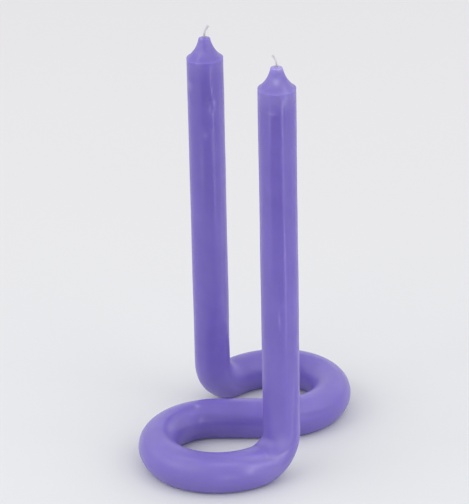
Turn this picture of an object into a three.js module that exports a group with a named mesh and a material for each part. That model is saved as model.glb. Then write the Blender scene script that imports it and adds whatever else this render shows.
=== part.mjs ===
import * as THREE from 'three';
import { mergeGeometries, mergeVertices } from 'three/addons/utils/BufferGeometryUtils.js';

// A twist candle: one long round rod of coloured wax, bent while warm. The middle of the rod
// lies on the table as an S, each end of the S curls round into a loop, and from each loop the
// rod turns straight up into a leg. Both legs end in a milled tip. One wick runs through the
// whole rod and comes out at both tips.
// Millimetres, +Z up. The origin is on the table under the middle of the S. +X runs along the
// straight stretch towards the rear loop, and +Y points to the rear of the candle.

// The rod and the flat that it settled to on the table while it was warm. The legs are a little
// thinner than the base, because bending them up stretches the warm rod.
const rodDiameter = 20.5;
const legDiameter = 19;
const tableFlatDepth = 0.5;

// The front half, from the middle of the S outwards: half of the straight stretch, then the loop
// in three arcs to the left, then the bend that lifts the rod into its leg. Turns in degrees.
const frontStretchLength = 15.5;
const frontEntryRadius = 30;
const frontEntryTurn = 46;
const frontCrownRadius = 29.5;
const frontCrownTurn = 111;
const frontReturnRadius = 35;
const frontReturnTurn = 59.5;
const frontRiseRadius = 15.5;
const frontShoulderHeight = 214.5;

// The rear half. The candle is bent by hand, so its loop is not quite the front one's twin.
const rearStretchLength = 15;
const rearEntryRadius = 30.5;
const rearEntryTurn = 52.5;
const rearCrownRadius = 29;
const rearCrownTurn = 127.5;
const rearReturnRadius = 33.5;
const rearReturnTurn = 48;
const rearRiseRadius = 15.5;
const rearShoulderHeight = 200.6;

// The milled tip: a narrow land at the shoulder, then a hollow cut by a round-nosed cutter,
// up to a small flat.
const tipHeight = 10.5;
const tipFlatDiameter = 6;
const tipShoulderLand = 0.4;
const tipCutterRadius = 17;

// The wick and the room it has in its bore. Each free end stands straight out of the tip and
// then leans over: the azimuth is the way it leans, seen from above, counted from +X.
const wickDiameter = 1.6;
const wickClearance = 0.3;
const wickStandLength = 1.5;
const wickCurlRadius = 6;
const frontWickCurlTurn = 38;
const frontWickAzimuth = 165;
const rearWickCurlTurn = 42;
const rearWickAzimuth = 10;

// How finely the round forms are drawn. Both section counts are multiples of four, so that one
// column of corners runs along the very bottom of the rod.
const rodSides = 28;
const wickSides = 8;
const degreesPerStep = 9;
const tipSteps = 5;

const rodRadius = rodDiameter / 2;
const legRadius = legDiameter / 2;
const wickRadius = wickDiameter / 2;
const boreRadius = wickRadius + wickClearance;
const rodAxisHeight = rodRadius - tableFlatDepth;

// The half turn about a vertical axis that sends one half of the candle to the other side.
const halfTurn = new THREE.Matrix4().makeRotationZ(Math.PI);

// A pose is a place along the rod as a matrix. Its X points along the rod, away from the middle
// of the candle, its Y to the left of that, and its Z was up while the rod was still straight.
// A route is a list of poses that grows as the rod is drawn from the middle out to its tip.
function advance(route, length) {
  const step = new THREE.Matrix4().makeTranslation(length, 0, 0);
  route.push(route.at(-1).clone().multiply(step));
}

// Bends the rod on a radius. A roll of 0 bends it to the left and a roll of 90 upwards.
function bend(route, radius, turn, roll = 0) {
  const steps = Math.max(1, Math.ceil(turn / degreesPerStep));
  const rollIn = new THREE.Matrix4().makeRotationX(THREE.MathUtils.degToRad(roll));
  const step = rollIn
    .clone()
    .multiply(new THREE.Matrix4().makeTranslation(0, radius, 0))
    .multiply(new THREE.Matrix4().makeRotationZ(THREE.MathUtils.degToRad(turn / steps)))
    .multiply(new THREE.Matrix4().makeTranslation(0, -radius, 0))
    .multiply(rollIn.clone().invert());
  for (let i = 0; i < steps; i += 1) {
    route.push(route.at(-1).clone().multiply(step));
  }
}

// Half of the bent rod, from the middle of the S to the shoulder of its tip.
function halfRoute(half) {
  const start = new THREE.Matrix4().makeRotationZ(THREE.MathUtils.degToRad(half.startAzimuth));
  start.setPosition(0, 0, rodAxisHeight);
  const route = [start];
  advance(route, half.stretchLength);
  for (const arc of half.loop) {
    bend(route, arc.radius, arc.turn);
  }
  bend(route, half.riseRadius, 90, 90);
  advance(route, half.shoulderHeight - half.riseRadius - rodAxisHeight);
  return route;
}

// The free end of the wick, from the top of the tip. The lean's azimuth becomes a roll about the
// leg, whose left side faces 90 degrees on from the way the loop ended.
function wickEndRoute(half, tipTop) {
  const loopTurn = half.loop.reduce((sum, arc) => sum + arc.turn, 0);
  const roll = half.wickAzimuth - half.startAzimuth - loopTurn - 90;
  const route = [tipTop];
  advance(route, wickStandLength);
  bend(route, wickCurlRadius, half.wickCurlTurn, roll);
  return route.slice(1);
}

// The tip's outline above its shoulder, as distances along the leg and radii.
function tipOutline() {
  const foot = new THREE.Vector2(legRadius - tipShoulderLand, 0);
  const top = new THREE.Vector2(tipFlatDiameter / 2, tipHeight);
  const chord = top.clone().sub(foot);
  const outward = new THREE.Vector2(chord.y, -chord.x).normalize();
  const centreOffset = Math.sqrt(tipCutterRadius ** 2 - chord.lengthSq() / 4);
  const centre = foot.clone().add(top).divideScalar(2).addScaledVector(outward, centreOffset);
  const startAngle = foot.clone().sub(centre).angle();
  const endAngle = top.clone().sub(centre).angle();
  const hollow = new THREE.EllipseCurve(
    centre.x, centre.y, tipCutterRadius, tipCutterRadius, startAngle, endAngle, true,
  );
  return hollow.getPoints(tipSteps).map((point) => ({ along: point.y, radius: point.x }));
}

// The rod thins evenly from the base's radius to the leg's, along the bend that lifts it.
function radiusAt(pose, riseRadius) {
  const height = new THREE.Vector3().setFromMatrixPosition(pose).z;
  const lifted = THREE.MathUtils.smoothstep(height, rodAxisHeight, rodAxisHeight + riseRadius);
  return THREE.MathUtils.lerp(rodRadius, legRadius, lifted);
}

// A section is one ring of the rod: a pose and the radius there.
function rodSections(half) {
  const route = halfRoute(half);
  const shoulder = route.at(-1);
  const sections = route.map((pose) => ({ pose, radius: radiusAt(pose, half.riseRadius) }));
  for (const { along, radius } of tipOutline()) {
    const pose = shoulder.clone().multiply(new THREE.Matrix4().makeTranslation(along, 0, 0));
    sections.push({ pose, radius });
  }
  return sections;
}

// The bore keeps the rod's poses, without the rings that only shape the tip.
function boreSections(half) {
  const tipTop = rodSections(half).at(-1).pose;
  return [...halfRoute(half), tipTop].map((pose) => ({ pose, radius: boreRadius }));
}

function wickSections(half) {
  const poses = boreSections(half).map((section) => section.pose);
  const freeEnd = wickEndRoute(half, poses.at(-1));
  return [...poses, ...freeEnd].map((pose) => ({ pose, radius: wickRadius }));
}

// Joins the halves into one run from the front tip to the rear tip. The front half was drawn
// outwards, so its order and its poses are turned round, and the middle is kept once.
function wholeRun(front, rear) {
  const inward = front.slice(1).reverse().map(({ pose, radius }) => ({
    pose: pose.clone().multiply(halfTurn),
    radius,
  }));
  return [...inward, ...rear];
}

// A ring of corners, counterclockwise for someone who looks back along the rod. What would hang
// below the table is pressed flat on it.
function ring({ pose, radius }, sides) {
  return Array.from({ length: sides }, (_, i) => {
    const angle = (i * 2 * Math.PI) / sides;
    const local = new THREE.Vector3(0, radius * Math.cos(angle), radius * Math.sin(angle));
    const corner = local.applyMatrix4(pose);
    corner.z = Math.max(corner.z, 0);
    return corner;
  });
}

function geometryOf(corners, faces) {
  return new THREE.BufferGeometry().setFromPoints(corners).setIndex(faces.flat());
}

function turnedOver(faces) {
  return faces.map(([a, b, c]) => [a, c, b]);
}

// The side wall of a run of sections. A bore's wall faces its own axis.
function wall(sections, sides, facesAxis = false) {
  const corners = sections.flatMap((section) => ring(section, sides));
  const faces = [];
  for (let i = 0; i < sections.length - 1; i += 1) {
    for (let j = 0; j < sides; j += 1) {
      const next = (j + 1) % sides;
      const a = i * sides + j;
      const b = i * sides + next;
      faces.push([a, b, b + sides], [a, b + sides, a + sides]);
    }
  }
  return geometryOf(corners, facesAxis ? turnedOver(faces) : faces);
}

// The flat end of a run, with the mouth of the bore cut out of it where there is one.
function endFace(section, sides, atStart, mouth) {
  const outer = ring(section, sides);
  const inner = mouth ? ring(mouth, wickSides) : [];
  const intoPose = section.pose.clone().invert();
  const flat = (corner) => {
    const local = corner.clone().applyMatrix4(intoPose);
    return new THREE.Vector2(local.y, local.z);
  };
  const holes = mouth ? [inner.map(flat)] : [];
  const faces = THREE.ShapeUtils.triangulateShape(outer.map(flat), holes);
  return geometryOf([...outer, ...inner], atStart ? turnedOver(faces) : faces);
}

// One closed body from its walls and end faces.
function closedBody(skins) {
  const body = mergeVertices(mergeGeometries(skins), 1e-4);
  body.computeVertexNormals();
  return body;
}

function waxBody(front, rear) {
  const rod = wholeRun(rodSections(front), rodSections(rear));
  const bore = wholeRun(boreSections(front), boreSections(rear));
  const geometry = closedBody([
    wall(rod, rodSides),
    wall(bore, wickSides, true),
    endFace(rod.at(0), rodSides, true, bore.at(0)),
    endFace(rod.at(-1), rodSides, false, bore.at(-1)),
  ]);
  const wax = new THREE.MeshStandardMaterial({ color: 0x7f70bf, roughness: 0.42, metalness: 0 });
  const mesh = new THREE.Mesh(geometry, wax);
  mesh.name = 'wax_body';
  return mesh;
}

function wick(front, rear) {
  const cord = wholeRun(wickSections(front), wickSections(rear));
  const geometry = closedBody([
    wall(cord, wickSides),
    endFace(cord.at(0), wickSides, true),
    endFace(cord.at(-1), wickSides, false),
  ]);
  const cotton = new THREE.MeshStandardMaterial({ color: 0xdcdade, roughness: 0.85, metalness: 0 });
  const mesh = new THREE.Mesh(geometry, cotton);
  mesh.name = 'wick';
  return mesh;
}

const frontHalf = {
  startAzimuth: 180,
  stretchLength: frontStretchLength,
  loop: [
    { radius: frontEntryRadius, turn: frontEntryTurn },
    { radius: frontCrownRadius, turn: frontCrownTurn },
    { radius: frontReturnRadius, turn: frontReturnTurn },
  ],
  riseRadius: frontRiseRadius,
  shoulderHeight: frontShoulderHeight,
  wickCurlTurn: frontWickCurlTurn,
  wickAzimuth: frontWickAzimuth,
};

const rearHalf = {
  startAzimuth: 0,
  stretchLength: rearStretchLength,
  loop: [
    { radius: rearEntryRadius, turn: rearEntryTurn },
    { radius: rearCrownRadius, turn: rearCrownTurn },
    { radius: rearReturnRadius, turn: rearReturnTurn },
  ],
  riseRadius: rearRiseRadius,
  shoulderHeight: rearShoulderHeight,
  wickCurlTurn: rearWickCurlTurn,
  wickAzimuth: rearWickAzimuth,
};

const candle = new THREE.Group();
candle.add(waxBody(frontHalf, rearHalf), wick(frontHalf, rearHalf));

export default candle;
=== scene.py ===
import math
import random

import bmesh
import bpy
import numpy as np
from mathutils import Matrix, Vector


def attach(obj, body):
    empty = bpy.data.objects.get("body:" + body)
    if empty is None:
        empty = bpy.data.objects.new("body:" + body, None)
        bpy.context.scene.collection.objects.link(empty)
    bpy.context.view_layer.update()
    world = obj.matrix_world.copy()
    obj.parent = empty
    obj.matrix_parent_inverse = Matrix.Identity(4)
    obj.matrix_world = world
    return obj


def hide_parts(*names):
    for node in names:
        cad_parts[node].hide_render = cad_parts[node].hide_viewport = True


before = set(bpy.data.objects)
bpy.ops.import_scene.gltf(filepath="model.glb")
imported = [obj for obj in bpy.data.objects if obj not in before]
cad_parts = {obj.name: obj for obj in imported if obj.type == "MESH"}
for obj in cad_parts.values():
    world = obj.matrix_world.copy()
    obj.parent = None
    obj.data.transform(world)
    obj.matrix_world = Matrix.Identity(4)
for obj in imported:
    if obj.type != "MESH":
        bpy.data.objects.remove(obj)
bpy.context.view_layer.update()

# A twist candle: one round rod of violet paraffin wax, bent while warm, with one braided wick.
# The rod and the wick are modelled straight, as they are made, and then bent along one line,
# so that both keep their real length. Lengths are in millimetres until they are multiplied by
# MM, and every object is in metres.
MM = 0.001

# The candle's sizes, as in the frame.
ROD_RADIUS = 10.25
LEG_RADIUS = 9.5
TABLE_FLAT_DEPTH = 0.5
TIP_HEIGHT = 10.5
TIP_FLAT_RADIUS = 3.0
TIP_SHOULDER_LAND = 0.4
TIP_CUTTER_RADIUS = 17.0
BORE_RADIUS = 0.85
WICK_STAND_LENGTH = 1.5
WICK_CURL_RADIUS = 6.0

# Each half of the bent rod, from the middle of the S outwards: the straight stretch, the three
# arcs of its loop as a radius and an angle, the bend up into the leg, and the wick's lean.
FRONT_HALF = {
    "start_azimuth": 180.0,
    "stretch_length": 15.5,
    "loop": [(30.0, 46.0), (29.5, 111.0), (35.0, 59.5)],
    "rise_radius": 15.5,
    "shoulder_height": 214.5,
    "wick_azimuth": 165.0,
    "wick_curl_angle": 38.0,
}
REAR_HALF = {
    "start_azimuth": 0.0,
    "stretch_length": 15.0,
    "loop": [(30.5, 52.5), (29.0, 127.5), (33.5, 48.0)],
    "rise_radius": 15.5,
    "shoulder_height": 200.6,
    "wick_azimuth": 10.0,
    "wick_curl_angle": 42.0,
}

# How finely the pieces are drawn.
LINE_STEP = 1.0
ROD_SIDES = 112
ROD_RING_SPACING = 0.95
BORE_SIDES = 16
BORE_RING_SPACING = 2.5
TIP_STEPS = 16

# The camera: where the photograph was taken from, in the frame's axes, with the lens in pixels
# of the 469 by 504 picture. It looks along +Y, turned a little, and down at the candle.
PICTURE_HEIGHT = 504
SENSOR_SIZE = 36.0
LENS_PIXELS = 2850.0
CAMERA_DISTANCE = 1473.6
CAMERA_PITCH = 24.615
CAMERA_YAW = -2.259
CAMERA_ROLL = -1.227
CAMERA_AIM_RIGHT = -4.488
CAMERA_AIM_HEIGHT = 106.623

random.seed(7)


def linear(hex_colour):
    """An sRGB hex colour as the linear values that shaders take."""
    channels = [int(hex_colour[i:i + 2], 16) / 255 for i in (1, 3, 5)]
    curve = [c / 12.92 if c <= 0.04045 else ((c + 0.055) / 1.055) ** 2.4 for c in channels]
    return (*curve, 1.0)


def stand_camera():
    """Puts the camera where the photograph was taken from."""
    pitch, yaw, roll = (math.radians(a) for a in (CAMERA_PITCH, CAMERA_YAW, CAMERA_ROLL))
    forward = Vector((
        math.sin(yaw) * math.cos(pitch),
        math.cos(yaw) * math.cos(pitch),
        -math.sin(pitch),
    ))
    level_right = Vector((math.cos(yaw), -math.sin(yaw), 0))
    level_up = level_right.cross(forward)
    right = level_right * math.cos(roll) + level_up * math.sin(roll)
    up = level_up * math.cos(roll) - level_right * math.sin(roll)
    aim = level_right * CAMERA_AIM_RIGHT + Vector((0, 0, CAMERA_AIM_HEIGHT))
    place = (aim - forward * CAMERA_DISTANCE) * MM
    turn = Matrix((right, up, -forward)).transposed().to_4x4()
    data = bpy.data.cameras.new("camera")
    data.sensor_width = SENSOR_SIZE
    data.lens = LENS_PIXELS * SENSOR_SIZE / PICTURE_HEIGHT
    data.clip_start = 0.1
    data.clip_end = 20
    camera = bpy.data.objects.new("camera", data)
    camera.matrix_world = Matrix.Translation(place) @ turn
    bpy.context.collection.objects.link(camera)
    bpy.context.scene.camera = camera


# Small tools for modelling with operators.
def take(*pieces):
    """Selects these pieces alone, the first of them active."""
    if bpy.context.object and bpy.context.object.mode != "OBJECT":
        bpy.ops.object.mode_set(mode="OBJECT")
    bpy.ops.object.select_all(action="DESELECT")
    for piece in pieces:
        piece.select_set(True)
    bpy.context.view_layer.objects.active = pieces[0]


def edit(piece, kind):
    """Opens the piece for editing by VERT, EDGE or FACE, with nothing selected."""
    take(piece)
    bpy.ops.object.mode_set(mode="EDIT")
    bpy.ops.mesh.select_mode(type=kind)
    bpy.ops.mesh.select_all(action="DESELECT")


def choose(piece, kind, test):
    """Selects the vertices, edges or faces of the open piece that pass the test."""
    shape = bmesh.from_edit_mesh(piece.data)
    elements = {"VERT": shape.verts, "EDGE": shape.edges, "FACE": shape.faces}[kind]
    for element in elements:
        if test(element):
            element.select_set(True)
    bmesh.update_edit_mesh(piece.data)


def close_edit():
    """Goes back to object mode, where other pieces can be taken."""
    bpy.ops.object.mode_set(mode="OBJECT")


def apply_modifier(piece, kind, **settings):
    """Gives the piece one modifier with these settings and applies it."""
    modifier = piece.modifiers.new(kind.lower(), kind)
    for name, value in settings.items():
        setattr(modifier, name, value)
    take(piece)
    bpy.ops.object.modifier_apply(modifier=modifier.name)


def off_axis(place):
    """How far a place on the straight rod is from the rod's axis."""
    return math.hypot(place.y, place.z)


def around_axis(place):
    """The angle of a place on the straight rod round the rod's axis, in degrees."""
    return math.degrees(math.atan2(place.z, place.y)) % 360


# The bending line. A walker is a matrix whose X points along the line, away from the middle of
# the S, its Y to the left of that, and its Z was up while the rod lay straight.
def walk_straight(walkers, length):
    """Carries the line straight on."""
    steps = max(1, round(length / LINE_STEP))
    for _ in range(steps):
        walkers.append(walkers[-1] @ Matrix.Translation((length / steps, 0, 0)))


def walk_bend(walkers, radius, angle, roll=0.0):
    """Bends the line on a radius, to the left with a roll of 0 and upwards with a roll of 90."""
    steps = max(2, round(radius * math.radians(angle) / LINE_STEP))
    roll_in = Matrix.Rotation(math.radians(roll), 4, "X")
    step = (
        roll_in
        @ Matrix.Translation((0, radius, 0))
        @ Matrix.Rotation(math.radians(angle) / steps, 4, "Z")
        @ Matrix.Translation((0, -radius, 0))
        @ roll_in.inverted()
    )
    for _ in range(steps):
        walkers.append(walkers[-1] @ step)


def walk_half(half):
    """Half of the line out to the wick's free end, and the rod's length on that half."""
    axis_height = ROD_RADIUS - TABLE_FLAT_DEPTH
    start = Matrix.Rotation(math.radians(half["start_azimuth"]), 4, "Z")
    walkers = [Matrix.Translation((0, 0, axis_height)) @ start]
    walk_straight(walkers, half["stretch_length"])
    for radius, angle in half["loop"]:
        walk_bend(walkers, radius, angle)
    walk_bend(walkers, half["rise_radius"], 90, 90)
    walk_straight(walkers, half["shoulder_height"] - half["rise_radius"] - axis_height)
    walk_straight(walkers, TIP_HEIGHT)
    rod_points = len(walkers)
    walk_straight(walkers, WICK_STAND_LENGTH)
    loop_angle = sum(angle for _, angle in half["loop"])
    roll = half["wick_azimuth"] - half["start_azimuth"] - loop_angle - 90
    walk_bend(walkers, WICK_CURL_RADIUS, half["wick_curl_angle"], roll)
    points = [walker.translation for walker in walkers]
    rod_length = sum((b - a).length for a, b in zip(points, points[1:rod_points]))
    return points, rod_length


def length_of(points):
    """The length of a line through these points."""
    return sum((b - a).length for a, b in zip(points, points[1:]))


def draw_bending_line():
    """The line from the front wick's free end to the rear one's, and where the rod lies on it."""
    front, front_rod = walk_half(FRONT_HALF)
    rear, rear_rod = walk_half(REAR_HALF)
    points = front[:0:-1] + rear
    middle = length_of(front)
    data = bpy.data.curves.new("bending_line", "CURVE")
    data.dimensions = "3D"
    data.twist_mode = "MINIMUM"
    spline = data.splines.new("POLY")
    spline.points.add(len(points) - 1)
    for spot, point in zip(spline.points, points):
        spot.co = (*(point * MM), 1)
    line = bpy.data.objects.new("bending_line", data)
    bpy.context.collection.objects.link(line)
    return line, (middle - front_rod) * MM, (middle + rear_rod) * MM, length_of(points) * MM


def remember_straight(piece):
    """Keeps each vertex's place on the straight piece, which the materials' patterns follow."""
    places = np.empty(len(piece.data.vertices) * 3, np.float32)
    piece.data.vertices.foreach_get("co", places)
    attribute = piece.data.attributes.new("straight_place", "FLOAT_VECTOR", "POINT")
    attribute.data.foreach_set("vector", places)


def bend_along(piece, line):
    """Bends a straight piece along the bending line, and keeps its length."""
    apply_modifier(piece, "CURVE", object=line, deform_axis="POS_X")


# The wax body.
def tip_outline():
    """The milled tip's hollow, from the shoulder up, as distances along the rod and radii."""
    foot = Vector((LEG_RADIUS - TIP_SHOULDER_LAND, 0))
    top = Vector((TIP_FLAT_RADIUS, TIP_HEIGHT))
    chord = top - foot
    outward = Vector((chord.y, -chord.x)).normalized()
    sag = math.sqrt(TIP_CUTTER_RADIUS ** 2 - chord.length_squared / 4)
    centre = (foot + top) / 2 + outward * sag
    start = math.atan2(foot.y - centre.y, foot.x - centre.x) % math.tau
    end = math.atan2(top.y - centre.y, top.x - centre.x) % math.tau
    outline = []
    for i in range(TIP_STEPS + 1):
        angle = start + (end - start) * i / TIP_STEPS
        radius = centre.x + TIP_CUTTER_RADIUS * math.cos(angle)
        outline.append((centre.y + TIP_CUTTER_RADIUS * math.sin(angle), radius))
    return outline


# The wax climbs a little up the wick where the tip was dipped last: distances above the tip's
# flat and radii, from the flat's rim inwards.
WICK_COLLAR = [(0.04, 2.3), (0.12, 1.6), (0.32, 1.15), (0.62, 0.92)]


def draw_out(outward, along, radius, from_radius, at):
    """Extrudes the chosen end along the rod and brings it to a new radius."""
    bpy.ops.mesh.extrude_region_move(
        TRANSFORM_OT_translate={"value": (outward * along * MM, 0, 0)}
    )
    change = radius / from_radius
    bpy.ops.transform.resize(value=(1, change, change), center_override=(at, 0, 0))


# The thinning of a leg fades out below it over this many radii of its bend.
SLIMMING_REACH = 1.25

# Faces whose normals lie along the rod by at least this much are its ends.
END_FACING = 0.9

# Places nearer than this count as the same, in millimetres.
SAME_PLACE = 0.01


def slim_leg(rod, half, shoulder, outward):
    """Thins the rod that was stretched up into a leg, fading in along the bend below it."""
    rise = half["rise_radius"]
    leg = half["shoulder_height"] - rise - (ROD_RADIUS - TABLE_FLAT_DEPTH)
    foot = shoulder - outward * leg * MM
    change = LEG_RADIUS / ROD_RADIUS
    edit(rod, "VERT")
    choose(rod, "VERT", lambda v: (v.co.x - foot) * outward > -SAME_PLACE * MM)
    bpy.ops.transform.resize(
        value=(1, change, change), center_override=(foot, 0, 0), use_proportional_edit=True,
        proportional_edit_falloff="SMOOTH", proportional_size=SLIMMING_REACH * rise * MM,
    )
    close_edit()


def mill_tip(rod, shoulder, outward):
    """Shapes one end of the straight rod: the land, the hollow, the flat and the wax collar."""
    edit(rod, "FACE")
    choose(rod, "FACE", lambda f: f.normal.x * outward > END_FACING)
    reached = 0.0
    radius = LEG_RADIUS
    collar = [(TIP_HEIGHT + along, r) for along, r in WICK_COLLAR]
    for along, next_radius in tip_outline() + collar:
        at = shoulder + outward * along * MM
        draw_out(outward, along - reached, next_radius, radius, at)
        reached, radius = along, next_radius
    bpy.ops.mesh.delete(type="FACE")
    close_edit()


# Handling leaves the shoulder and the rim of the flat this much blunted.
RIM_BLUNTING = 0.3
RIM_SEGMENTS = 4


def soften_rims(rod, shoulders):
    """Rounds the shoulder and the rim of the flat at both tips."""
    for along, radius in ((0.0, LEG_RADIUS), (TIP_HEIGHT, TIP_FLAT_RADIUS)):
        edit(rod, "EDGE")

        def on_rim(edge):
            for vertex in edge.verts:
                reach = [(shoulders[0] - vertex.co.x) / MM, (vertex.co.x - shoulders[1]) / MM]
                if min(abs(r - along) for r in reach) > SAME_PLACE:
                    return False
                if abs(off_axis(vertex.co) / MM - radius) > SAME_PLACE:
                    return False
            return True

        choose(rod, "EDGE", on_rim)
        bpy.ops.mesh.bevel(offset=RIM_BLUNTING * MM, segments=RIM_SEGMENTS, affect="EDGES")
        close_edit()


# An edge that reaches further than this along the rod isn't one of a ring, in millimetres.
RING_THICKNESS = 1.0


def cylinder_between(name, radius, sides, start, end, ring_spacing, ends):
    """A straight cylinder along X, cut into even rings in two rounds of subdivision."""
    bpy.ops.object.select_all(action="DESELECT")
    bpy.ops.mesh.primitive_cylinder_add(
        vertices=sides, radius=radius * MM, depth=end - start, end_fill_type=ends,
        location=((start + end) / 2, 0, 0), rotation=(0, math.pi / 2, 0),
    )
    piece = bpy.context.object
    piece.name = name
    bpy.ops.object.transform_apply(location=True, rotation=True, scale=True)
    cuts = round(math.sqrt((end - start) / (ring_spacing * MM))) - 1
    for _ in range(2):
        edit(piece, "EDGE")
        choose(
            piece, "EDGE",
            lambda e: abs(e.verts[0].co.x - e.verts[1].co.x) > RING_THICKNESS * MM,
        )
        bpy.ops.mesh.subdivide(number_cuts=cuts)
        close_edit()
    return piece


# The bore's lining ends this far inside its mouths, and a mouth's loose edges lie this near it.
BORE_INSET = 0.4
MOUTH_REACH = 2.0


def bore_rod(rod, start, end):
    """Lines the wick's bore and joins its mouths to the wax collars."""
    mouths = [start - WICK_COLLAR[-1][0] * MM, end + WICK_COLLAR[-1][0] * MM]
    inset = BORE_INSET * MM
    bore = cylinder_between(
        "bore", BORE_RADIUS, BORE_SIDES, mouths[0] + inset, mouths[1] - inset,
        BORE_RING_SPACING, "NOTHING",
    )
    edit(bore, "FACE")
    bpy.ops.mesh.select_all(action="SELECT")
    bpy.ops.mesh.flip_normals()
    close_edit()
    take(rod, bore)
    bpy.ops.object.join()
    for mouth in mouths:
        edit(rod, "EDGE")
        choose(
            rod, "EDGE",
            lambda e: e.is_boundary and abs(e.verts[0].co.x - mouth) < MOUTH_REACH * MM,
        )
        bpy.ops.mesh.bridge_edge_loops()
        close_edit()


def wax_body(line, start, end):
    """The rod: drawn, thinned into legs, milled, marked by hand, bored, bent and set down."""
    tip = TIP_HEIGHT * MM
    shoulders = (start + tip, end - tip)
    rod = cylinder_between(
        "wax_rod", ROD_RADIUS, ROD_SIDES, shoulders[0], shoulders[1], ROD_RING_SPACING, "NGON"
    )
    slim_leg(rod, FRONT_HALF, shoulders[0], -1)
    slim_leg(rod, REAR_HALF, shoulders[1], 1)
    mill_tip(rod, shoulders[0], -1)
    mill_tip(rod, shoulders[1], 1)
    soften_rims(rod, shoulders)
    roughen_by_hand(rod, shoulders)
    raise_ridges(rod)
    press_marks(rod)
    bore_rod(rod, start, end)
    remember_straight(rod)
    spread_bloom_and_painted_light(rod)
    bend_along(rod, line)
    settle(rod)
    return rod


# Hands and the bending board leave the rod a little uneven: the length of the swells, and how
# far they rise and fall in all.
SWELLS = [(34.0, 0.35), (7.0, 0.05)]

# They fade out over this length before a milled tip, in so many even steps.
SWELL_FADE = 14.0
SWELL_FADE_STEPS = 10

# Low ridges and creases along the rod, from drawing it and from bending it while warm. They wind
# round where the rod twisted in a loop. Each has its rise, the widths of its two sides, and a
# line of places on the straight rod: along it from the free end of the front wick, and round it
# in degrees. The first width is that of the side with the smaller angles. A ridge fades in and
# out over RIDGE_FADE at its ends.
RIDGE_FADE = 10.0
RIDGES = [
    (0.50, (3.0, 4.4), [(14, 151), (60, 150), (105, 147), (150, 147), (198, 150)]),
    (-0.55, (2.4, 2.4), [
        (168, 110), (176, 112), (187, 116), (198, 121), (205, 125), (210, 132), (214, 144),
        (220, 160), (231, 177), (239, 187), (247, 198), (254, 208), (264, 222),
    ]),
    (0.24, (2.8, 1.7), [
        (212, 114), (220, 136), (225, 147), (232, 161), (240, 172), (248, 181), (258, 186),
        (266, 191), (278, 202),
    ]),
    (0.35, (3.0, 3.0), [(326, 262), (340, 266), (352, 270), (361, 272), (376, 282)]),
    (0.15, (2.2, 2.2), [(306, 280), (326, 291), (340, 298), (354, 304)]),
    (0.16, (2.0, 2.0), [(24, 186), (60, 186), (120, 186)]),
    (-0.20, (2.2, 2.2), [(380, 281), (390, 286), (400, 291), (412, 292)]),
    (0.20, (2.4, 2.4), [(424, 238), (432, 230), (444, 221), (456, 214), (466, 210)]),
    (-0.40, (2.8, 2.8), [(494, 100), (502, 116), (508, 128), (515, 137), (523, 142), (546, 142)]),
    (0.40, (5.4, 2.6), [(545, 114), (590, 117), (620, 121), (640, 123), (692, 123)]),
]

# Where the warm rod was pressed on the board its underside spread a little: how far out, and up to
# what height above the table.
FOOT_SPREAD = 0.8
FOOT_HEIGHT = 4.5

# Faces of the wax that meet at less than this angle, in degrees, are one smooth surface.
SMOOTH_ANGLE = 35.0

# Small marks from handling, as places on the straight rod: along it from the free end of the
# front wick, round it in degrees, how far each reaches, and how high it stands or how deep it is.
# The wax within MARK_CORE of its middle moves by all of that.
MARK_CORE = 1.3
MARKS = [
    (10.6, 172.0, 2.4, 0.45),
    (14.5, 146.0, 3.0, 0.35),
    (19.1, 144.0, 2.2, 0.32),
    (26.0, 175.0, 2.0, 0.34),
    (137.2, 166.0, 1.6, 0.28),
    (226.6, 184.0, 2.0, 0.12),
    (238.8, 148.0, 3.2, 0.36),
    (335.2, 234.0, 1.8, 0.36),
    (660.5, 84.0, 2.0, 0.25),
    (673.8, 90.0, 2.0, -0.35),
    (676.5, 112.0, 1.8, 0.30),
    (684.3, 27.0, 2.2, 0.34),
]


# Pale spots, streaks and patches painted into the wax's colour. A few, at the small marks, are a
# thin bloom and rubbing on the wax. The rest are painted light: thin pale lines and spots that paint
# the highlights along the legs, the tips and the creases, and broad pale patches that lighten the
# loops and bends where they lie in shade. Each is given along and round the rod as above, how far it
# reaches along and across, and how pale it is in its middle.
BLOOM_AND_PAINTED_LIGHT = [
    (11.2, 166.0, 1.5, 1.5, 0.22),
    (5.6, 100.0, 1.2, 8.0, 0.20),
    (14.6, 131.0, 2.0, 1.2, 0.06),
    (17.6, 137.0, 2.2, 1.0, 0.05),
    (20.6, 144.0, 1.6, 1.2, 0.09),
    (26.0, 180.0, 0.8, 2.4, 0.09),
    (31.0, 186.0, 9.0, 0.7, 0.06),
    (137.5, 166.0, 4.0, 0.5, 0.12),
    (226.6, 184.0, 1.0, 1.6, 0.05),
    (238.6, 150.0, 2.4, 2.2, 0.06),
    (247.0, 141.0, 5.0, 1.6, 0.05),
    (335.2, 238.0, 1.4, 1.4, 0.16),
    (640.0, 66.0, 14.0, 1.0, 0.05),
    (658.0, 80.0, 2.0, 1.2, 0.07),
    (675.6, 109.0, 2.2, 0.9, 0.12),
    (672.0, 96.0, 3.0, 0.7, 0.09),
    (684.3, 30.0, 2.0, 1.8, 0.10),
    (699.4, 56.0, 2.0, 1.0, 0.08),
    (701.5, 72.0, 1.8, 2.6, 0.06),
    (17.0, 150.0, 6.5, 12.0, 0.065),
    (209.0, 160.0, 6.0, 4.0, 0.09),
    (224.0, 134.0, 9.0, 6.0, 0.055),
    (228.0, 158.0, 7.0, 1.4, 0.04),
    (515.0, 75.0, 11.0, 12.0, 0.075),
    (236.0, 186.0, 9.0, 4.0, 0.05),
    (248.0, 179.0, 9.0, 1.1, 0.05),
    (266.0, 189.0, 8.0, 1.1, 0.06),
    (262.0, 150.0, 60.0, 26.0, 0.030),
    (320.0, 225.0, 30.0, 26.0, 0.018),
    (396.0, 230.0, 9.0, 8.0, 0.055),
    (430.0, 190.0, 50.0, 26.0, 0.020),
    (509.0, 160.0, 9.0, 6.0, 0.050),
]


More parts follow.
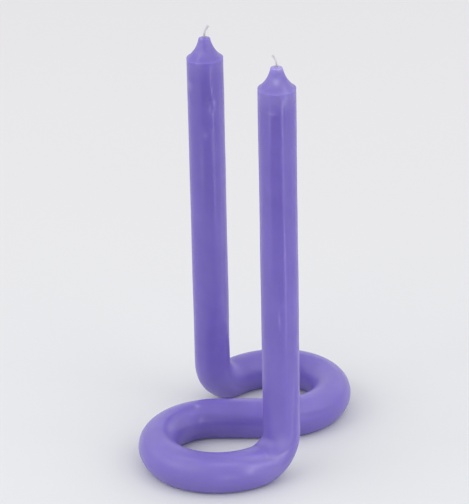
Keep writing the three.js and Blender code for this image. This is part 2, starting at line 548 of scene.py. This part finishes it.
def spread_bloom_and_painted_light(rod):
    """Keeps at each vertex how pale the bloom and the painted light make it, for the wax's material.
    """
    places = np.empty(len(rod.data.vertices) * 3, np.float32)
    rod.data.vertices.foreach_get("co", places)
    x, y, z = places.reshape(-1, 3).T / MM
    around = np.degrees(np.arctan2(z, y))
    off_middle = np.hypot(y, z)
    levels = np.zeros(len(x), np.float32)
    for along, middle, reach, width, level in BLOOM_AND_PAINTED_LIGHT:
        turn = np.radians((around - middle + 180) % 360 - 180)
        levels += level * np.exp(-((x - along) / reach) ** 2 - (turn * off_middle / width) ** 2)
    attribute = rod.data.attributes.new("bloom_and_painted_light", "FLOAT", "POINT")
    attribute.data.foreach_set("value", levels)


def roughen_by_hand(rod, shoulders):
    """Gives the drawn rod its slow swells, which fade out before the milled tips."""
    group = rod.vertex_groups.new(name="drawn")
    levels = {}
    for vertex in rod.data.vertices:
        inward = min(vertex.co.x - shoulders[0], shoulders[1] - vertex.co.x) / MM
        share = min(max(inward / SWELL_FADE, 0), 1)
        level = round(SWELL_FADE_STEPS * share) / SWELL_FADE_STEPS
        levels.setdefault(level, []).append(vertex.index)
    for level, indices in levels.items():
        group.add(indices, level, "REPLACE")
    for length, rise in SWELLS:
        swells = bpy.data.textures.new("swells", "CLOUDS")
        swells.noise_scale = length * MM
        swells.noise_depth = 1
        apply_modifier(
            rod, "DISPLACE", texture=swells, texture_coords="LOCAL", direction="NORMAL",
            vertex_group="drawn", mid_level=0.5, strength=rise * MM,
        )
        bpy.data.textures.remove(swells)
    rod.vertex_groups.clear()


def raise_ridges(rod):
    """Raises each ridge, highest on its line and sloping down evenly to both sides."""
    for rise, widths, line in RIDGES:
        alongs, arounds = zip(*line)
        group = rod.vertex_groups.new(name="ridge")
        for vertex in rod.data.vertices:
            along = vertex.co.x / MM
            inside = min(along - alongs[0], alongs[-1] - along)
            if inside <= 0:
                continue
            off_line = around_axis(vertex.co) - float(np.interp(along, alongs, arounds))
            turn = math.radians(off_line)
            width = widths[0] if turn < 0 else widths[1]
            slope = 1 - abs(turn) * off_axis(vertex.co) / (width * MM)
            level = slope * min(inside / RIDGE_FADE, 1)
            if level > 0:
                group.add([vertex.index], level, "REPLACE")
        apply_modifier(
            rod, "DISPLACE", direction="NORMAL", vertex_group="ridge", mid_level=0.0,
            strength=rise * MM,
        )
        rod.vertex_groups.clear()


def press_marks(rod):
    """Raises or sinks each small mark, fading out evenly round it."""
    edit(rod, "VERT")
    for along, around, reach, rise in MARKS:
        out = Vector((0, math.cos(math.radians(around)), math.sin(math.radians(around))))
        spot = Vector((along * MM, 0, 0)) + out * LEG_RADIUS * MM
        bpy.ops.mesh.select_all(action="DESELECT")
        choose(rod, "VERT", lambda v: (v.co - spot).length < MARK_CORE * MM)
        bpy.ops.transform.translate(
            value=out * rise * MM, use_proportional_edit=True,
            proportional_edit_falloff="SMOOTH", proportional_size=reach * MM,
        )
    close_edit()


def settle(rod):
    """Spreads the underside and presses flat what the warm rod would sink below the table."""
    group = rod.vertex_groups.new(name="foot")
    for vertex in rod.data.vertices:
        level = 1 - vertex.co.z / (FOOT_HEIGHT * MM)
        if level > 0:
            group.add([vertex.index], min(level, 1), "REPLACE")
    apply_modifier(
        rod, "DISPLACE", direction="NORMAL", vertex_group="foot", mid_level=0.0,
        strength=FOOT_SPREAD * MM,
    )
    rod.vertex_groups.clear()
    edit(rod, "VERT")
    choose(rod, "VERT", lambda v: v.co.z < 0)
    bpy.ops.transform.resize(value=(1, 1, 0), center_override=(0, 0, 0))
    close_edit()
    bpy.ops.object.shade_smooth_by_angle(angle=math.radians(SMOOTH_ANGLE))


# The wick: three cotton strands plaited flat.
STRANDS = 3
STRAND_RADIUS = 0.3
PLAIT_HALF_WIDTH = 0.38
PLAIT_HALF_DEPTH = 0.2
PLAIT_PITCH = 3.6
STRAND_STEP = 0.4
STRAND_SIDES = 8

# The cut ends fray into loose fibres, which leave the plait inside the last few millimetres and
# end FRAY_BEYOND outside it. FIBRE_SPREAD is how far they part, and both it and their length
# vary from fibre to fibre, from these shares of it up.
FIBRES = 26
FIBRE_RADIUS = 0.035
FIBRE_LENGTH = 4.4
FIBRE_SPREAD = 0.9
SHORTEST_SHARE = 0.5
LEAST_SPREAD_SHARE = 0.15
FIBRE_STEPS = 7
FRAY_BEYOND = 1.2


def strand(number, total):
    """One strand of the plait, which weaves from side to side and over and under."""
    count = round(total / (STRAND_STEP * MM))
    data = bpy.data.curves.new("strand", "CURVE")
    data.dimensions = "3D"
    data.bevel_depth = STRAND_RADIUS * MM
    data.bevel_resolution = STRAND_SIDES // 2 - 2
    data.use_fill_caps = True
    spline = data.splines.new("POLY")
    spline.points.add(count)
    for i, spot in enumerate(spline.points):
        along = total * i / count
        phase = math.tau * (along / (PLAIT_PITCH * MM) + number / STRANDS)
        side = PLAIT_HALF_WIDTH * math.sin(phase)
        depth = PLAIT_HALF_DEPTH * math.sin(2 * phase)
        spot.co = (along, side * MM, depth * MM, 1)
    piece = bpy.data.objects.new(f"strand_{number}", data)
    bpy.context.collection.objects.link(piece)
    take(piece)
    bpy.ops.object.convert(target="MESH")
    return bpy.context.object


def fray(end, inward):
    """Loose fibres at one cut end, which leave the plait there and spread as they go."""
    data = bpy.data.curves.new("fray", "CURVE")
    data.dimensions = "3D"
    data.bevel_depth = FIBRE_RADIUS * MM
    data.bevel_resolution = 1
    data.use_fill_caps = True
    for _ in range(FIBRES):
        turn = random.uniform(0, math.tau)
        spread = FIBRE_SPREAD * random.uniform(LEAST_SPREAD_SHARE, 1.0)
        length = FIBRE_LENGTH * random.uniform(SHORTEST_SHARE, 1.0)
        root = PLAIT_HALF_DEPTH * random.uniform(0, 1)
        spline = data.splines.new("POLY")
        spline.points.add(FIBRE_STEPS)
        for i, spot in enumerate(spline.points):
            share = i / FIBRE_STEPS
            out = (root + spread * share ** 2) * MM
            along = end + inward * (length * (1 - share)) * MM
            spot.co = (along, out * math.cos(turn + share), out * math.sin(turn + share), 1)
    piece = bpy.data.objects.new("fray", data)
    bpy.context.collection.objects.link(piece)
    take(piece)
    bpy.ops.object.convert(target="MESH")
    return bpy.context.object


def wick(line, total):
    """The plaited cord with its frayed ends, bent along the rod's own line."""
    strands = [strand(number, total) for number in range(STRANDS)]
    strands += [fray(-FRAY_BEYOND * MM, 1), fray(total + FRAY_BEYOND * MM, -1)]
    take(*strands)
    bpy.ops.object.join()
    cord = bpy.context.object
    cord.name = "plaited_wick"
    remember_straight(cord)
    bend_along(cord, line)
    take(cord)
    bpy.ops.object.shade_smooth()
    return cord


# Materials.
def add_node(tree, kind, settings=(), links=()):
    """Adds a node, sets its properties and sockets, and links its inputs to other outputs."""
    node = tree.nodes.new(kind)
    for name, value in dict(settings).items():
        if isinstance(name, str) and hasattr(node, name) and name not in node.inputs:
            setattr(node, name, value)
        else:
            node.inputs[name].default_value = value
    for name, source in dict(links).items():
        tree.links.new(source, node.inputs[name])
    return node


def new_material(name):
    """An empty material and its node tree."""
    material = bpy.data.materials.new(name)
    material.use_nodes = True
    material.node_tree.nodes.clear()
    return material, material.node_tree


# Paraffin wax, coloured through and drawn to a smooth rod: light sinks in a few millimetres, so the
# shade side stays soft and rich, and the skin has a broad satin shine. Milling leaves the tips
# finely scuffed, so they are paler near the wick. Just below each shoulder the wax is painted paler
# as well, a painted glow for the light that shines down through the wax from the tip. The list gives
# how far from the rod's end, and how pale.
HAZE_AND_GLOW_REACH = 30.0
HAZE_AND_PAINTED_GLOW = [
    (0.0, 0.08), (1.0, 0.10), (3.5, 0.06), (5.5, 0.02), (9.6, 0.0), (11.0, 0.045), (14.0, 0.03),
    (20.0, 0.0),
]

# The patterns in the wax: clouds of dye, the scuffs that break up the haze and the painted glow, the
# lines that the die drew along the rod, and the ripples of the skin between those.
CLOUD_SIZE = 15.385
SCUFF_SIZE = 2.857
DRAW_LINE_SPACING = 0.909
DRAW_LINE_LENGTH = 41.32
DRAW_LINE_DEPTH = 0.022
RIPPLE_SIZE = 3.125
RIPPLE_DEPTH = 0.06


def drawn_paraffin_wax(start, end):
    material, tree = new_material("drawn_paraffin_wax")
    place = add_node(tree, "ShaderNodeAttribute", {"attribute_name": "straight_place"})
    clouds = add_node(
        tree, "ShaderNodeTexNoise",
        {"Scale": 1 / (CLOUD_SIZE * MM), "Detail": 3.0, "Roughness": 0.5},
        {"Vector": place.outputs["Vector"]},
    )
    colour = add_node(tree, "ShaderNodeValToRGB", {}, {"Fac": clouds.outputs["Fac"]})
    ramp = colour.color_ramp.elements
    ramp[0].position, ramp[0].color = 0.3, linear("#7262B4")
    ramp[1].position, ramp[1].color = 0.7, linear("#7868BA")
    # How far the place is from the nearer end of the rod, and the haze and painted glow that this
    # brings.
    parts = add_node(tree, "ShaderNodeSeparateXYZ", {}, {"Vector": place.outputs["Vector"]})
    from_start = add_node(
        tree, "ShaderNodeMath", {"operation": "SUBTRACT", 1: start}, {0: parts.outputs["X"]}
    )
    from_end = add_node(
        tree, "ShaderNodeMath", {"operation": "SUBTRACT", 0: end}, {1: parts.outputs["X"]}
    )
    nearer = add_node(
        tree, "ShaderNodeMath", {"operation": "MINIMUM"},
        {0: from_start.outputs[0], 1: from_end.outputs[0]},
    )
    share = add_node(
        tree, "ShaderNodeMath", {"operation": "DIVIDE", 1: HAZE_AND_GLOW_REACH * MM},
        {0: nearer.outputs[0]},
    )
    fading = add_node(tree, "ShaderNodeValToRGB", {}, {"Fac": share.outputs[0]})
    stops = fading.color_ramp.elements
    while len(stops) < len(HAZE_AND_PAINTED_GLOW):
        stops.new(0.5)
    for stop, (reach, level) in zip(stops, HAZE_AND_PAINTED_GLOW):
        stop.position, stop.color = reach / HAZE_AND_GLOW_REACH, (level, level, level, 1)
    scuffs = add_node(
        tree, "ShaderNodeTexNoise",
        {"Scale": 1 / (SCUFF_SIZE * MM), "Detail": 3.0, "Roughness": 0.6},
        {"Vector": place.outputs["Vector"]},
    )
    uneven = add_node(
        tree, "ShaderNodeMapRange", {"From Min": 0.3, "From Max": 0.7, "To Min": 0.6, "To Max": 1.4},
        {"Value": scuffs.outputs["Fac"]},
    )
    # The tips' haze and the painted glow below their shoulders, broken up by the scuffs.
    haze_and_painted_glow = add_node(
        tree, "ShaderNodeMath", {"operation": "MULTIPLY"},
        {0: fading.outputs["Color"], 1: uneven.outputs["Result"]},
    )
    # The bloom at the small marks, and the painted light: pale lines and spots that paint
    # highlights, and pale patches that lighten shaded loops and bends.
    bloom_and_painted_light = add_node(tree, "ShaderNodeAttribute", {"attribute_name": "bloom_and_painted_light"})
    # All the paleness, painted light and painted glow included, mixes the wax towards a pale
    # lavender.
    paleness_with_painted_light = add_node(
        tree, "ShaderNodeMath", {"operation": "ADD"},
        {0: haze_and_painted_glow.outputs[0], 1: bloom_and_painted_light.outputs["Fac"]},
    )
    hazed_with_painted_light = add_node(
        tree, "ShaderNodeMixRGB", {"Color2": linear("#E4E0FF")},
        {"Fac": paleness_with_painted_light.outputs[0], "Color1": colour.outputs["Color"]},
    )
    stretched = add_node(
        tree, "ShaderNodeMapping", {"Scale": (DRAW_LINE_SPACING / DRAW_LINE_LENGTH, 1.0, 1.0)},
        {"Vector": place.outputs["Vector"]},
    )
    draw_lines = add_node(
        tree, "ShaderNodeTexNoise",
        {"Scale": 1 / (DRAW_LINE_SPACING * MM), "Detail": 2.0, "Roughness": 0.6},
        {"Vector": stretched.outputs["Vector"]},
    )
    ripples = add_node(
        tree, "ShaderNodeTexNoise",
        {"Scale": 1 / (RIPPLE_SIZE * MM), "Detail": 2.0, "Roughness": 0.5},
        {"Vector": place.outputs["Vector"]},
    )
    lined = add_node(
        tree, "ShaderNodeBump", {"Strength": 1.0, "Distance": DRAW_LINE_DEPTH * MM},
        {"Height": draw_lines.outputs["Fac"]},
    )
    skin = add_node(
        tree, "ShaderNodeBump", {"Strength": 1.0, "Distance": RIPPLE_DEPTH * MM},
        {"Height": ripples.outputs["Fac"], "Normal": lined.outputs["Normal"]},
    )
    shader = add_node(
        tree, "ShaderNodeBsdfPrincipled",
        {
            "Roughness": 0.27,
            "IOR": 1.5,
            "Specular IOR Level": 0.5,
            "Subsurface Weight": 0.8,
            "Subsurface Radius": (0.5, 0.4, 1.0),
            "Subsurface Scale": 0.005,
        },
        {"Base Color": hazed_with_painted_light.outputs["Color"], "Normal": skin.outputs["Normal"]},
    )
    add_node(
        tree, "ShaderNodeOutputMaterial", {}, {"Surface": shader.outputs["BSDF"]}
    )
    return material


# Cotton yarn, plaited and primed with wax: a dull grey-white, with fine fibres along it, that
# turns grey-violet near the candle, where it has soaked up coloured wax over WICK_SOAKED.
WICK_SOAKED = 3.2

# The cotton's fibres, twisted along the strands.
FIBRE_SPACING = 0.25
FIBRE_RUN = 1.6667
FIBRE_DEPTH = 0.05


def plaited_cotton(start, end):
    material, tree = new_material("plaited_cotton")
    place = add_node(tree, "ShaderNodeAttribute", {"attribute_name": "straight_place"})
    parts = add_node(tree, "ShaderNodeSeparateXYZ", {}, {"Vector": place.outputs["Vector"]})
    before = add_node(
        tree, "ShaderNodeMath", {"operation": "SUBTRACT", 0: start}, {1: parts.outputs["X"]}
    )
    after = add_node(
        tree, "ShaderNodeMath", {"operation": "SUBTRACT", 1: end}, {0: parts.outputs["X"]}
    )
    outside = add_node(
        tree, "ShaderNodeMath", {"operation": "MAXIMUM"},
        {0: before.outputs[0], 1: after.outputs[0]},
    )
    share = add_node(
        tree, "ShaderNodeMath", {"operation": "DIVIDE", 1: WICK_SOAKED * MM},
        {0: outside.outputs[0]},
    )
    colour = add_node(tree, "ShaderNodeValToRGB", {}, {"Fac": share.outputs[0]})
    ramp = colour.color_ramp.elements
    ramp[0].position, ramp[0].color = 0.0, linear("#A8A6B1")
    ramp[1].position, ramp[1].color = 1.0, linear("#D3D2D6")
    stretched = add_node(
        tree, "ShaderNodeMapping", {"Scale": (FIBRE_SPACING / FIBRE_RUN, 1.0, 1.0)},
        {"Vector": place.outputs["Vector"]},
    )
    fibres = add_node(
        tree, "ShaderNodeTexNoise",
        {"Scale": 1 / (FIBRE_SPACING * MM), "Detail": 2.0, "Roughness": 0.6},
        {"Vector": stretched.outputs["Vector"]},
    )
    fibrous = add_node(
        tree, "ShaderNodeBump", {"Strength": 1.0, "Distance": FIBRE_DEPTH * MM},
        {"Height": fibres.outputs["Fac"]},
    )
    shader = add_node(
        tree, "ShaderNodeBsdfPrincipled",
        {"Roughness": 0.85, "IOR": 1.5},
        {"Base Color": colour.outputs["Color"], "Normal": fibrous.outputs["Normal"]},
    )
    add_node(tree, "ShaderNodeOutputMaterial", {}, {"Surface": shader.outputs["BSDF"]})
    return material


# Matt card: the pale table that the candle stands on. It is a little warmer from FAR_TABLE
# metres behind the candle.
TABLE_COLOUR = "#DADBDB"
FAR_TABLE_COLOUR = "#DCDADB"
FAR_TABLE = 0.5


def pale_card():
    material, tree = new_material("pale_card")
    place = add_node(tree, "ShaderNodeTexCoord")
    parts = add_node(tree, "ShaderNodeSeparateXYZ", {}, {"Vector": place.outputs["Object"]})
    behind = add_node(
        tree, "ShaderNodeMapRange", {"From Min": 0.0, "From Max": FAR_TABLE},
        {"Value": parts.outputs["Y"]},
    )
    colour = add_node(
        tree, "ShaderNodeMixRGB",
        {"Color1": linear(TABLE_COLOUR), "Color2": linear(FAR_TABLE_COLOUR)},
        {"Fac": behind.outputs["Result"]},
    )
    shader = add_node(
        tree, "ShaderNodeBsdfPrincipled", {"Roughness": 0.9},
        {"Base Color": colour.outputs["Color"]},
    )
    add_node(tree, "ShaderNodeOutputMaterial", {}, {"Surface": shader.outputs["BSDF"]})
    return material


# Black cloth: the dark opening of the tent, on the table in front of the picture. The candle sees
# it dark, and a camera sees the table there.
def black_cloth():
    material, tree = new_material("black_cloth")
    seen = add_node(tree, "ShaderNodeLightPath")
    colour = add_node(
        tree, "ShaderNodeMixRGB",
        {"Color1": linear("#303030"), "Color2": linear(TABLE_COLOUR)},
        {"Fac": seen.outputs["Is Camera Ray"]},
    )
    shader = add_node(
        tree, "ShaderNodeBsdfPrincipled", {"Roughness": 0.9},
        {"Base Color": colour.outputs["Color"]},
    )
    add_node(tree, "ShaderNodeOutputMaterial", {}, {"Surface": shader.outputs["BSDF"]})
    return material


def dress(piece, material):
    """Gives the piece this material alone."""
    piece.data.materials.clear()
    piece.data.materials.append(material)


# The studio: a bright white tent that is open to the camera, in metres. The table's sheet and
# the dark cloth on it lie SHEET_GAP below and above the plane that the candle stands on.
FLOOR_SIZE = 12.0
SHEET_GAP = 0.00002
DARK_OPENING_PLACE = (-0.07, -0.8)
DARK_OPENING_SIZE = (0.4, 1.0)

# Soft boxes by azimuth and height angle round the candle, in degrees, then distance, width and
# height in metres, and brightness. Azimuth 0 is the camera's side and 90 is the right.
SOFT_BOXES = {
    "top_strip": (0, 85.2, 1.2, 1.4, 0.1, 0.7),
    "high_right_box": (90, 62, 1.5, 0.8, 0.6, 0.55),
    "front_box": (0, 55, 1.6, 1.3, 0.9, 0.14),
    "front_left_box": (-50, 35, 1.6, 1.1, 1.1, 1.34),
    "front_right_box": (50, 35, 1.6, 1.1, 1.1, 0.87),
    "left_box": (-90, 30, 1.6, 1.1, 1.1, 0.74),
    "right_box": (90, 30, 1.6, 1.1, 1.1, 0.36),
    "back_left_box": (-135, 30, 1.6, 1.1, 1.1, 0.19),
    "back_right_box": (135, 30, 1.6, 1.1, 1.1, 0.4),
    "back_box": (180, 28, 1.6, 1.3, 1.3, 0.13),
}

# Two upright light strips beside the opening, which draw the narrow bright lines on the legs:
# place on the table, width and height in metres, and brightness.
STRIPS = {
    "left_strip": (-0.207, -0.244, 0.02, 0.16, 0.3),
    "right_strip": (0.13, -0.18, 0.012, 0.16, 8.7),
}


# The boxes face this height above the table.
LIT_HEIGHT = 0.1


def lay_sheet(name, material, centre, size):
    """A flat sheet of the stage, lying level."""
    bpy.ops.object.select_all(action="DESELECT")
    bpy.ops.mesh.primitive_plane_add(size=1, location=centre)
    sheet = bpy.context.object
    sheet.name = name
    sheet.scale = (*size, 1)
    bpy.ops.object.transform_apply(location=True, rotation=True, scale=True)
    dress(sheet, material)


def hang_lamp(name, place, aim, width, height, brightness):
    """A rectangular soft light that faces a point. Its power follows from its brightness."""
    data = bpy.data.lights.new(name, "AREA")
    data.shape = "RECTANGLE"
    data.size = width
    data.size_y = height
    data.energy = brightness * math.pi * width * height
    lamp = bpy.data.objects.new(name, data)
    lamp.location = place
    lamp.rotation_euler = (place - aim).to_track_quat("Z", "Y").to_euler()
    lamp.visible_camera = False
    bpy.context.collection.objects.link(lamp)
    return lamp


def light_studio(candle):
    """Sets the tent's light, the soft boxes and the two strips round the candle."""
    world = bpy.data.worlds.new("studio")
    bpy.context.scene.world = world
    world.use_nodes = True
    tree = world.node_tree
    tree.nodes.clear()
    seen = add_node(tree, "ShaderNodeLightPath")
    backdrop = add_node(
        tree, "ShaderNodeBackground", {"Color": linear("#E6E8EA"), "Strength": 1.0}
    )
    tent = add_node(
        tree, "ShaderNodeBackground", {"Color": linear("#F6F7FA"), "Strength": 0.9}
    )
    # What the camera, a reflection or a clear piece looks at is the backdrop, not the tent.
    mirrored = add_node(
        tree, "ShaderNodeMath", {"operation": "MAXIMUM"},
        {0: seen.outputs["Is Glossy Ray"], 1: seen.outputs["Is Transmission Ray"]},
    )
    looked_at = add_node(
        tree, "ShaderNodeMath", {"operation": "MAXIMUM"},
        {0: seen.outputs["Is Camera Ray"], 1: mirrored.outputs[0]},
    )
    mix = add_node(
        tree, "ShaderNodeMixShader", {},
        {0: looked_at.outputs[0], 1: tent.outputs[0], 2: backdrop.outputs[0]},
    )
    add_node(tree, "ShaderNodeOutputWorld", {}, {"Surface": mix.outputs[0]})
    middle = Vector((0, 0, LIT_HEIGHT))
    for name, (azimuth, rise, distance, width, height, brightness) in SOFT_BOXES.items():
        turn, rise = math.radians(azimuth), math.radians(rise)
        away = Vector((
            math.sin(turn) * math.cos(rise), -math.cos(turn) * math.cos(rise), math.sin(rise)
        ))
        hang_lamp(name, middle + away * distance, middle, width, height, brightness)
    # The strips are shaded from the table and light the candle alone.
    lit = bpy.data.collections.new("candle")
    for piece in candle:
        lit.objects.link(piece)
    for name, (x, y, width, height, brightness) in STRIPS.items():
        place = Vector((x, y, height / 2))
        strip = hang_lamp(name, place, Vector((0, 0, place.z)), width, height, brightness)
        strip.light_linking.receiver_collection = lit


stand_camera()
line, rod_start, rod_end, line_length = draw_bending_line()
wax_piece = wax_body(line, rod_start, rod_end)
wick_piece = wick(line, line_length)
bpy.data.objects.remove(line)
dress(wax_piece, drawn_paraffin_wax(rod_start, rod_end))
dress(wick_piece, plaited_cotton(rod_start, rod_end))
for piece, node, slot in ((wax_piece, "wax_body", "wax"), (wick_piece, "wick", "wick")):
    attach(piece, "root")
    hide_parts(node)
lay_sheet("table_top", pale_card(), (0, 0, -SHEET_GAP), (FLOOR_SIZE, FLOOR_SIZE))
lay_sheet("dark_opening", black_cloth(), (*DARK_OPENING_PLACE, SHEET_GAP), DARK_OPENING_SIZE)
light_studio((wax_piece, wick_piece))
bpy.context.scene.view_settings.view_transform = "Standard"
